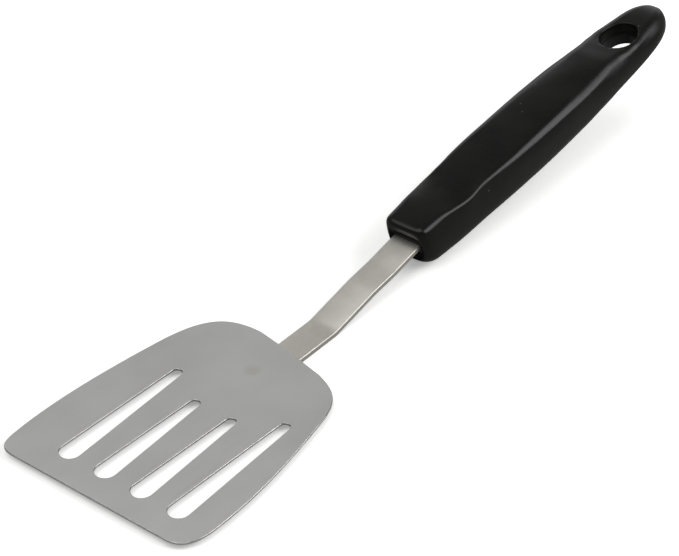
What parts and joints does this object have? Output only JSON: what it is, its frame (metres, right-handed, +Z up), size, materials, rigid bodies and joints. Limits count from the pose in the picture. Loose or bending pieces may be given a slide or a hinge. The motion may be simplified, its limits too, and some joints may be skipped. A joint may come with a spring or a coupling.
{
  "type": "slotted grill spatula",
  "caption": "Slotted turner: thin flared steel blade with tapered drain slots, cranked flat shank and black moulded handle with a hanging hole.",
  "frame": {"origin": "on the surface the tool lies on, under the middle of its bounding box", "axes": "+X along the tool from the blade's front edge towards the handle's tail, +Y across the blade, +Z up from the surface the tool lies on"},
  "size_m": [0.3226, 0.0866, 0.0348],
  "materials": {
    "brushed_sheet": "fine brushed, satin",
    "shank_strip": "rolled, lightly polished",
    "fused_steel": "as welded",
    "core_plastic": "moulded, unpolished",
    "shell_plastic": "moulded, semi-gloss"
  },
  "bodies": {
    "root": {"blade": "brushed_sheet", "shank": "shank_strip", "front_spot_weld": "fused_steel", "rear_spot_weld": "fused_steel", "handle_core": "core_plastic", "handle_shell": "shell_plastic"}
  },
  "joints": []
}
